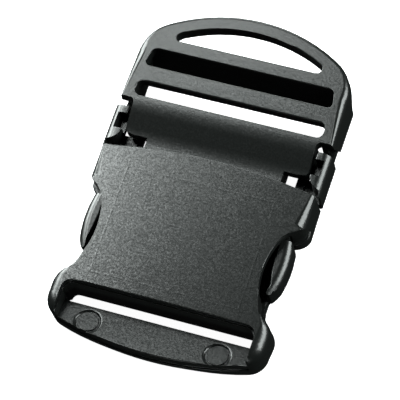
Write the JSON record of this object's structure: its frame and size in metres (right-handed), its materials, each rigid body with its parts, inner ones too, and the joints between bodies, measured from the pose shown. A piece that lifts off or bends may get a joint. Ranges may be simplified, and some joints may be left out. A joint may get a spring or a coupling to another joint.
{
  "type": "side release buckle",
  "caption": "Side release buckle for wide webbing, fastened: a socket with side cut-outs and a plug with a rounded bow, a webbing slider and two flexing arms.",
  "frame": {"origin": "on the back face, under the middle of the fastened buckle", "axes": "+X across the webbing, +Y along it towards the plug's rounded end, +Z out of the front face"},
  "size_m": [0.0596, 0.0954, 0.0113],
  "materials": {
    "black_acetal": "black acetal, moulded against a finely spark-eroded tool"
  },
  "bodies": {
    "root": {"socket": "black_acetal", "plug": "black_acetal"}
  },
  "joints": []
}
